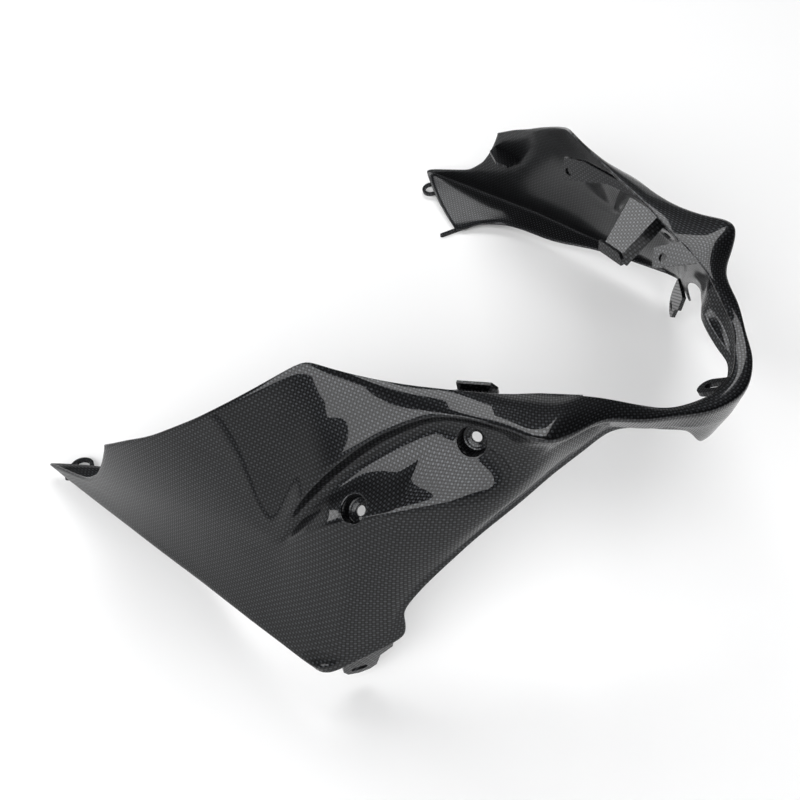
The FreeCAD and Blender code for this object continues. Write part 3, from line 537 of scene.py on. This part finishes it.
def rolled_edge(points, outer, inner, inside, steps=4, bulge=0.66):
    """Rows between the faces' borders: half an ellipse that stands out by a third of the wall."""
    o, i = points[outer], points[inner]
    middle, reach = (o + i) / 2, (o - i) / 2
    away = o - points[inside]
    away -= reach * (away * reach).sum(-1, keepdims=True) / (length(reach)[:, None] ** 2 + 1e-12)
    away *= (bulge * length(reach) / (length(away) + 1e-12))[:, None]
    turn = np.linspace(0, math.pi, steps + 1)[1:-1]
    return np.array([middle + reach * math.cos(a) + away * math.sin(a) for a in turn])


def cup_place(points, normals, side, mouth, axis):
    """Middle of a cup's mouth on the surface, and its unit axis, on one side of the fairing."""
    axis = np.array([axis[0], side * axis[1], axis[2]]) / math.hypot(*axis)
    gap = points[:, [0, 2]] - [mouth[0] - MIDDLE, mouth[1] + LIFT]
    near = length(gap) + np.where(points[:, 1] * side < PANEL_FROM, 1e3, 0)
    k = int(np.argmin(near))
    (x, z), n = gap[k], normals[k]
    return points[k] - [x, -(n[0] * x + n[2] * z) / n[1], z], axis


def laminate_arrays(sizes):
    """Vertices, cloth coordinates, faces and the first face of the inner side, in millimetres."""
    net = control_net()
    u = samples(net.shape[0] - 3, FINE_COLUMNS, fine=6, coarse=3)
    v = samples(net.shape[1] - 3, FINE_ROWS, fine=9, coarse=5)
    outer = spread_out(net, u, v)
    inner = spread_out(inner_net(net, sizes.wall / MM), u, v)
    cloth = lay_cloth(outer, v)
    index = numbered(outer.shape, 0)
    points = np.concatenate([outer.reshape(-1, 3), inner.reshape(-1, 3)])
    maps = np.concatenate([cloth.reshape(-1, 2)] * 2)
    normals = np.concatenate([grid_normals(outer).reshape(-1, 3)] * 2)
    border, inside = loop_round(index)
    edge = rolled_edge(points, border, border + index.size, inside)
    parts = [points, edge.reshape(-1, 3)]
    marks = [maps, np.tile(maps[border], (len(edge), 1))]
    ring = [border[None], numbered(edge.shape, len(points)), border[None] + index.size]
    rolled = closed(np.concatenate(ring))
    front, back = quads(index), quads(index)[:, ::-1] + index.size
    total = sum(len(p) for p in parts)
    cups = []
    bore, hole, plate = sizes.cup_bore / MM / 2, sizes.cup_hole / MM / 2, sizes.cup_wall / MM
    for side in (1, -1):
        for mouth, direction in CUPS:
            centre, axis = cup_place(points[:index.size], normals, side, mouth, direction)
            front, rim = open_hole(points, normals, front, centre, axis, bore + LIP)
            back, _ = open_hole(points, normals, back, centre, axis, bore + plate)
            rows, angle = cup_rows(points[rim], centre, axis, cup_profile(bore, hole, plate))
            numbers = numbered(rows.shape, total)
            total += numbers.size
            cups.append(closed(np.concatenate([rim[None], numbers]))[:, ::-1])
            parts.append(rows.reshape(-1, 3))
            # The cup's cloth: round the bore one way and down its profile the other.
            depth = np.cumsum(np.concatenate([[0], length(np.diff(rows[:, 0], axis=0))]))
            around = np.stack(np.broadcast_arrays(angle * bore, depth[:, None]), axis=-1)
            marks.append(around.reshape(-1, 2) + maps[rim[0]])
    faces = np.concatenate([front] + cups + [rolled, back])
    return np.concatenate(parts), np.concatenate(marks), faces, len(faces) - len(back)


def new_piece(name, points, faces, mats):
    """A smooth mesh object of the fairing from arrays in metres, riding on the one body."""
    mesh = bpy.data.meshes.new(name)
    mesh.from_pydata(points.tolist(), [], faces.tolist())
    mesh.polygons.foreach_set("use_smooth", np.ones(len(faces), bool))
    for material in mats:
        mesh.materials.append(material)
    mesh.update()
    piece = bpy.data.objects.new(name, mesh)
    bpy.context.scene.collection.objects.link(piece)
    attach(piece, "root")
    return piece


def linear(hex_colour):
    """An sRGB hex colour as linear RGBA."""
    channels = [int(hex_colour[k:k + 2], 16) / 255 for k in (1, 3, 5)]
    return [c / 12.92 if c <= 0.04045 else ((c + 0.055) / 1.055) ** 2.4 for c in channels] + [1.0]


def add(tree, kind, settings=None, **inputs):
    """Adds a node with its properties, and sets or links its inputs, given as i0, i1 or by name."""
    made = tree.nodes.new(kind)
    for key, value in (settings or {}).items():
        setattr(made, key, value)
    for key, value in inputs.items():
        numbered_input = key[0] == "i" and key[1:].isdigit()
        socket = made.inputs[int(key[1:]) if numbered_input else key.replace("_", " ")]
        if isinstance(value, bpy.types.NodeSocket):
            tree.links.new(value, socket)
        else:
            socket.default_value = value
    return made


def new_material(name):
    """A material with an empty node tree, and that tree."""
    material = bpy.data.materials.new(name)
    material.use_nodes = True
    material.node_tree.nodes.clear()
    return material, material.node_tree


def math_node(tree, operation, a, b=None, c=None):
    """Output of a new math node."""
    values = {"i%d" % k: value for k, value in enumerate((a, b, c)) if value is not None}
    return add(tree, "ShaderNodeMath", {"operation": operation}, **values).outputs[0]


# A tow falls away from its cell's middle, across and along, by these times the squared distance. Its
# crown, between two heights, is painted lighter as a sheen. The relief's height is in metres.
FALL_ACROSS, FALL_ALONG = 3.4, 2.6
CROWN = (0.35, 0.8)
RELIEF_HEIGHT = 0.0002
# Weft crowns' brightness beside the warp's (painted shade), and spread and least of each tow's tone.
PAINTED_WEFT_SHADE_SHARE = 0.3
UNEVEN = (0.3, 0.75)


def weave(tree, along_warp, along_weft, tow):
    """Plain weave from two lengths in metres.

    Cell (i, j) of the cloth has the warp on top where i + j is even, and the weft elsewhere. The
    tow on top is a pillow: round across its width and bending under its neighbours at both ends.
    Returns the crown for the painted sheen, its height, whether it is a weft tow, and its own random
    value.
    """
    def calc(*terms):
        return math_node(tree, *terms)

    u, v = calc("DIVIDE", along_warp, tow), calc("DIVIDE", along_weft, tow)
    i, j = calc("FLOOR", u), calc("FLOOR", v)
    odd = calc("FLOORED_MODULO", calc("ADD", i, j), 2.0)
    x = calc("SUBTRACT", calc("SUBTRACT", u, i), 0.5)
    y = calc("SUBTRACT", calc("SUBTRACT", v, j), 0.5)
    x2, y2 = calc("MULTIPLY", x, x), calc("MULTIPLY", y, y)
    across = add(tree, "ShaderNodeMix", {"data_type": "FLOAT"}, i0=odd, i2=y2, i3=x2).outputs[0]
    along = add(tree, "ShaderNodeMix", {"data_type": "FLOAT"}, i0=odd, i2=x2, i3=y2).outputs[0]
    fall = calc("MULTIPLY_ADD", across, FALL_ACROSS, calc("MULTIPLY", along, FALL_ALONG))
    pillow = calc("SUBTRACT", 1.0, fall)
    height = calc("MAXIMUM", pillow, 0.0)
    crown = add(tree, "ShaderNodeMapRange", {"interpolation_type": "SMOOTHSTEP"}, Value=pillow,
                From_Min=CROWN[0], From_Max=CROWN[1]).outputs[0]
    number = add(tree, "ShaderNodeCombineXYZ", X=calc("MULTIPLY", i, odd),
                 Y=calc("MULTIPLY", j, calc("SUBTRACT", 1.0, odd)), Z=odd).outputs[0]
    vary = add(tree, "ShaderNodeTexWhiteNoise", {"noise_dimensions": "3D"}, Vector=number)
    return crown, height, odd, vary.outputs["Value"]


def carbon(name, looks, tow, turn=None, coat_weight=0.5, coat_roughness=0.02):
    """Plain-weave 3K carbon cloth in epoxy, cured in a mould and clear-coated.

    The eye gets a black ground with a chequer of small grey crowns, one per crossing: a painted
    sheen on the tow on top, dimmed on the weft tows as painted shade, under a smooth coat that
    mirrors the studio. The cloth lies as its UV map says or, where a rotation is given, in the plane
    that this turns level.
    """
    material, tree = new_material(name)
    if turn is None:
        place = add(tree, "ShaderNodeUVMap", {"uv_map": "cloth"}).outputs[0]
    else:
        place = add(tree, "ShaderNodeMapping", {"vector_type": "POINT"}, Rotation=turn,
                    Vector=add(tree, "ShaderNodeTexCoord").outputs["Object"]).outputs[0]
    parts = add(tree, "ShaderNodeSeparateXYZ", Vector=place).outputs
    crown, height, odd, vary = weave(tree, parts[0], parts[1], tow)
    # Painted shade: the weft tows' crowns are dimmed, as if they faced away from the lamps.
    weft_painted_shade = math_node(tree, "MULTIPLY", odd, 1.0 - PAINTED_WEFT_SHADE_SHARE)
    weft = math_node(tree, "SUBTRACT", 1.0, weft_painted_shade)
    uneven = math_node(tree, "MULTIPLY_ADD", vary, UNEVEN[0], UNEVEN[1])
    # Painted sheen on the crowns, times the weft's painted shade and each tow's random tone.
    painted_sheen_and_tone = math_node(tree, "MULTIPLY", math_node(tree, "MULTIPLY", crown, weft), uneven)
    colour = add(tree, "ShaderNodeMix", {"data_type": "RGBA"}, i0=painted_sheen_and_tone, i6=linear(looks.resin),
                 i7=linear(looks.fibre)).outputs[2]
    rough = add(tree, "ShaderNodeMapRange", Value=crown, To_Min=looks.ground_roughness,
                To_Max=looks.tow_roughness).outputs[0]
    bump = add(tree, "ShaderNodeBump", Strength=looks.relief, Distance=RELIEF_HEIGHT, Height=height)
    shader = add(tree, "ShaderNodeBsdfPrincipled", Base_Color=colour, Roughness=rough,
                 Metallic=looks.sheen, Specular_IOR_Level=0.3, Coat_Weight=coat_weight,
                 Coat_Roughness=coat_roughness, Coat_IOR=1.5, Normal=bump.outputs[0])
    add(tree, "ShaderNodeOutputMaterial", Surface=shader.outputs[0])
    return material


def metres(name, description, default, **limits):
    """A length that the sidebar shows."""
    return FloatProperty(name=name, description=description, default=default, unit="LENGTH",
                         **limits)


def fraction(name, description, default):
    """A number from 0 to 1 that the sidebar shows."""
    return FloatProperty(name=name, description=description, default=default, min=0.0, max=1.0)


def colour_code(name, description, default):
    """An sRGB hex colour that the sidebar shows."""
    return StringProperty(name=name, description=description, default=default)


class FAIRING_PG_sizes(bpy.types.PropertyGroup):
    wall: metres("Wall", "Thickness of the laminate", 0.002, min=0.0005, max=0.004)
    cup_bore: metres("Cup bore", "Inner diameter of a bolt cup", 0.018)
    cup_wall: metres("Cup wall", "Thickness of a bolt cup", 0.002)
    cup_hole: metres("Cup hole", "Diameter of the screw hole in a cup", 0.007)
    tow: metres("Tow", "Width of one tow of the cloth", 0.002, min=0.0005, max=0.006)
    floor: metres("Floor", "Half the side of the floor", 6.0)
    floor_drop: metres("Floor drop", "How far below the object the floor lies", 0.0003)


class FAIRING_PG_looks(bpy.types.PropertyGroup):
    resin: colour_code("Resin", "Colour between the tows", "#050506")
    # The fibre grey is painted on the tows' crowns as a sheen over the resin's black.
    fibre: colour_code("Fibre", "Colour of a tow's crown", "#3a3c3f")
    backdrop: colour_code("Backdrop", "Colour of the floor", "#fafafa")
    low_wall: colour_code("Low wall", "Colour of the studio's low wall", "#e8e8e8")
    room: colour_code("Room", "Colour of the room above that wall", "#2a2b2e")
    ground_roughness: fraction("Ground roughness", "Roughness between the tows' crowns", 0.6)
    tow_roughness: fraction("Tow roughness", "Roughness of a tow's crown", 0.3)
    sheen: fraction("Metallic", "How metallic the fibres look", 0.75)
    relief: fraction("Relief", "Strength of the weave's relief", 0.35)


def settings():
    """The sizes and the looks that the sidebar shows."""
    scene = bpy.context.scene
    return scene.fairing_sizes, scene.fairing_looks


class FAIRING_OT_laminate(bpy.types.Operator):
    """Builds the moulded laminate with its rolled free edges and bolt cups"""
    bl_idname = "fairing.laminate"
    bl_label = "Laminate"

    def execute(self, context):
        sizes, looks = settings()
        points, cloth, faces, inner_from = laminate_arrays(sizes)
        gloss = carbon("Clear-coated carbon cloth", looks, sizes.tow)
        # The bag side of the laminate isn't clear-coated: its resin is a little dull.
        dull = carbon("Carbon cloth, bag side", looks, sizes.tow, coat_weight=0.4,
                      coat_roughness=0.15)
        piece = new_piece("fairing_laminate", points * MM, faces, [gloss, dull])
        mesh = piece.data
        marks = np.zeros(len(faces), np.int32)
        marks[inner_from:] = 1
        mesh.polygons.foreach_set("material_index", marks)
        layer = mesh.uv_layers.new(name="cloth")
        corners = np.empty(len(mesh.loops), np.int32)
        mesh.loops.foreach_get("vertex_index", corners)
        layer.data.foreach_set("uv", (cloth[corners] * MM).astype(np.float32).ravel())
        mesh.update()
        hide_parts("fairing_shell")
        return {"FINISHED"}


# Which way the cloth lies in each plate: the rotation that turns the plate's own plane level.
PLATES = {
    "nose_tab": (0.0, 0.764, 0.0),
    "eyelet": (0.0, 0.0, 0.35),
    "peg": (0.0, 0.0, 1.17),
    "gusset": (0.0, 0.0, 0.1),
    "hanger": (1.571, 0.0, 0.17),
    "stay": (-0.785, 0.0, 0.4),
    "front_plate": (-0.9, 0.3, 0.6),
    "lug": (1.571, 0.0, 1.016),
}


class FAIRING_OT_plates(bpy.types.Operator):
    """Gives the cut and bonded plates their carbon finish"""
    bl_idname = "fairing.plates"
    bl_label = "Plates"

    def execute(self, context):
        sizes, looks = settings()
        for kind, turn in PLATES.items():
            names = [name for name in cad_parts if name.startswith(kind)]
            if not names:
                raise RuntimeError("no plate is named %s" % kind)
            for name in names:
                side = -1 if name.endswith("right") else 1
                flipped = (turn[0] * side, turn[1], turn[2] * side)
                finish = carbon("Cut carbon plate " + name, looks, sizes.tow, flipped,
                                coat_roughness=0.15)
                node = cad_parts[name]
                node.data.materials.clear()
                node.data.materials.append(finish)
        return {"FINISHED"}


def plane(name, corners, material):
    """One rectangle of the studio, from its four corners."""
    mesh = bpy.data.meshes.new(name)
    mesh.from_pydata(corners, [], [(0, 1, 2, 3)])
    mesh.materials.append(material)
    card = bpy.data.objects.new(name, mesh)
    bpy.context.scene.collection.objects.link(card)


def aim(direction):
    """Rotation that points a lamp or a camera along a direction."""
    return direction.to_track_quat("-Z", "Y").to_euler()


# Place, width, height and radiance of each lamp, and the point that all of them face.
LAMPS = {
    "lamp_over": ((-0.95, 1.1, 2.3), 1.7, 1.3, 4.9),
    "lamp_side": ((0.45, -1.9, 1.9), 2.9, 1.9, 4.1),
    "lamp_rear": ((-2.4, -0.35, 1.25), 1.4, 1.0, 5.6),
}
LAMP_TARGET = (0.0, 0.0, 0.1)
# Heights of a direction between which the low wall gives way to the dark room.
WALL_TOP = (0.12, 0.3)
# The photo's camera: a 40.5 mm lens on a 36 mm sensor is 900 pixels on the 800 pixel frame.
CAMERA_PLACE = (0.2761, -0.4053, 0.6238)
CAMERA_WAY = (-0.39734, 0.48996, -0.77592)
LENS, SENSOR = 40.5, 36.0


def softbox(name, place, target, width, height, radiance):
    """A rectangular lamp of an even radiance, turned towards a target."""
    data = bpy.data.lights.new(name, "AREA")
    data.shape = "RECTANGLE"
    data.size, data.size_y = width, height
    data.energy = radiance * math.pi * width * height
    lamp = bpy.data.objects.new(name, data)
    bpy.context.scene.collection.objects.link(lamp)
    lamp.location = place
    lamp.rotation_euler = aim(Vector(target) - Vector(place))


class FAIRING_OT_studio(bpy.types.Operator):
    """Sets up the pale floor, the soft lamps, the world and the camera"""
    bl_idname = "fairing.studio"
    bl_label = "Studio"

    def execute(self, context):
        sizes, looks = settings()
        scene = context.scene
        scene.view_settings.view_transform = "Standard"
        # Matt white paper: an even pale ground that keeps the object's soft shadow.
        paper, tree = new_material("Matt paper sweep")
        shader = add(tree, "ShaderNodeBsdfDiffuse", Color=linear(looks.backdrop), Roughness=0.5)
        add(tree, "ShaderNodeOutputMaterial", Surface=shader.outputs[0])
        half = sizes.floor
        plane("floor", [(x * half, y * half, -sizes.floor_drop)
                        for x, y in ((-1, -1), (1, -1), (1, 1), (-1, 1))], paper)
        for name, (place, width, height, radiance) in LAMPS.items():
            softbox(name, place, LAMP_TARGET, width, height, radiance)
        world = bpy.data.worlds.new("studio")
        scene.world = world
        world.use_nodes = True
        tree = world.node_tree
        tree.nodes.clear()
        # A pale wall stands low round the studio, and the room above it is dark.
        way = add(tree, "ShaderNodeTexCoord").outputs["Generated"]
        up = add(tree, "ShaderNodeSeparateXYZ", Vector=way).outputs[2]
        height = add(tree, "ShaderNodeMapRange", {"interpolation_type": "SMOOTHSTEP"}, Value=up,
                     From_Min=WALL_TOP[0], From_Max=WALL_TOP[1]).outputs[0]
        room = add(tree, "ShaderNodeMix", {"data_type": "RGBA"}, i0=height,
                   i6=linear(looks.low_wall), i7=linear(looks.room)).outputs[2]
        shown = add(tree, "ShaderNodeBackground", Color=room, Strength=1.0)
        add(tree, "ShaderNodeOutputWorld", Surface=shown.outputs[0])
        data = bpy.data.cameras.new("camera")
        data.lens, data.sensor_width = LENS, SENSOR
        data.clip_start, data.clip_end = 0.02, 60.0
        camera = bpy.data.objects.new("camera", data)
        scene.collection.objects.link(camera)
        camera.location = CAMERA_PLACE
        camera.rotation_euler = aim(Vector(CAMERA_WAY))
        scene.camera = camera
        return {"FINISHED"}


OPERATORS = (FAIRING_OT_laminate, FAIRING_OT_plates, FAIRING_OT_studio)


class FAIRING_PT_panel(bpy.types.Panel):
    """Lists the steps that build the fairing"""
    bl_label = "Lower fairing"
    bl_idname = "FAIRING_PT_panel"
    bl_space_type = "VIEW_3D"
    bl_region_type = "UI"
    bl_category = "Fairing"

    def draw(self, context):
        for group in (context.scene.fairing_sizes, context.scene.fairing_looks):
            for key in group.bl_rna.properties.keys():
                if key not in ("rna_type", "name"):
                    self.layout.prop(group, key)
        for operator in OPERATORS:
            self.layout.operator(operator.bl_idname)


CLASSES = (FAIRING_PG_sizes, FAIRING_PG_looks) + OPERATORS + (FAIRING_PT_panel,)


def register():
    for item in CLASSES:
        bpy.utils.register_class(item)
    bpy.types.Scene.fairing_sizes = PointerProperty(type=FAIRING_PG_sizes)
    bpy.types.Scene.fairing_looks = PointerProperty(type=FAIRING_PG_looks)


def unregister():
    del bpy.types.Scene.fairing_looks
    del bpy.types.Scene.fairing_sizes
    for item in reversed(CLASSES):
        bpy.utils.unregister_class(item)


def main():
    register()
    bpy.ops.fairing.laminate()
    bpy.ops.fairing.plates()
    bpy.ops.fairing.studio()


if __name__ == "__main__":
    main()
